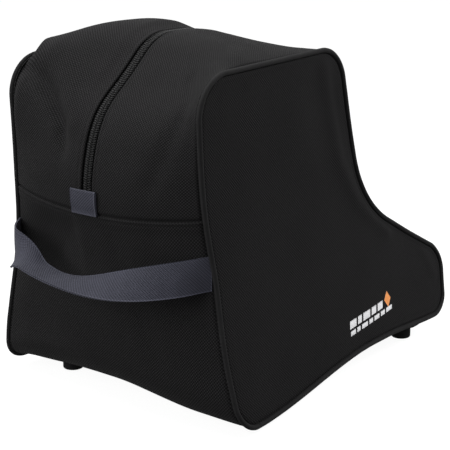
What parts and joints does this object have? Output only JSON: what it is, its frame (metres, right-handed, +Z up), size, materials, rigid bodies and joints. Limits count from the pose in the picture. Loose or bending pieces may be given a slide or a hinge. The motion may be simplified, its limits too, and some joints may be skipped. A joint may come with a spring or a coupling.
{
  "type": "shoe bag",
  "caption": "Boot-shaped zipped fabric bag with piped side panels, webbing carry handle and base feet.",
  "frame": {"origin": "bottom centre of the bag's box, on the surface that the feet stand on", "axes": "+X from heel to toe, +Y to the bag's left side, +Z up"},
  "size_m": [0.4566, 0.2958, 0.3305],
  "materials": {
    "shell_fabric": "fine black woven polyester, slight sheen",
    "piping_fabric": "black woven polyester over a cord",
    "foam": "closed-cell foam",
    "binding_tape": "black woven tape",
    "zip_tape": "black herringbone tape",
    "zip_coil": "black nylon coil",
    "slider_metal": "black enamel",
    "grey_webbing": "grey twill webbing",
    "foot_rubber": "black moulded rubber",
    "board_plastic": "black polyethylene board",
    "screw_steel": "zinc plated",
    "white_thread": "white embroidery thread",
    "orange_thread": "orange embroidery thread"
  },
  "bodies": {
    "root": {"zip_panel_right": "shell_fabric", "zip_panel_left": "shell_fabric", "heel_base_panel": "shell_fabric", "toe_panel": "shell_fabric", "side_panel_right": "shell_fabric", "side_panel_left": "shell_fabric", "piping_right": "piping_fabric", "piping_left": "piping_fabric", "side_foam_right": "foam", "side_foam_left": "foam", "seam_binding_right": "binding_tape", "seam_binding_left": "binding_tape", "zip_tape_right": "zip_tape", "zip_tape_left": "zip_tape", "zip_coil_right": "zip_coil", "zip_coil_left": "zip_coil", "heel_tab": "grey_webbing", "front_tab": "grey_webbing", "foot_heel_right": "foot_rubber", "foot_heel_left": "foot_rubber", "foot_toe_right": "foot_rubber", "foot_toe_left": "foot_rubber", "base_board": "board_plastic", "foot_screws": "screw_steel", "foot_washers": "screw_steel", "mark_dashes": "white_thread", "mark_badge": "orange_thread"},
    "carry_handle": {"carry_handle": "grey_webbing"},
    "zip_slider": {"zip_slider": "slider_metal"},
    "zip_puller": {"zip_puller": "slider_metal"}
  },
  "joints": [
    {"name": "handle_lift", "type": "hinge", "parent": "root", "child": "carry_handle", "pos_m": [-0.1815, 0, 0.146], "axis": [0, 1, 0], "range_deg": [-10, 50]},
    {"name": "slider_travel", "type": "slide", "parent": "root", "child": "zip_slider", "axis": [-0.2552, 0, 0.9669], "range_m": [0, 0.07]},
    {"name": "puller_swing", "type": "hinge", "parent": "zip_slider", "child": "zip_puller", "pos_m": [0.07508, 0, 0.21491], "axis": [0, -1, 0], "range_deg": [0, 160]}
  ]
}
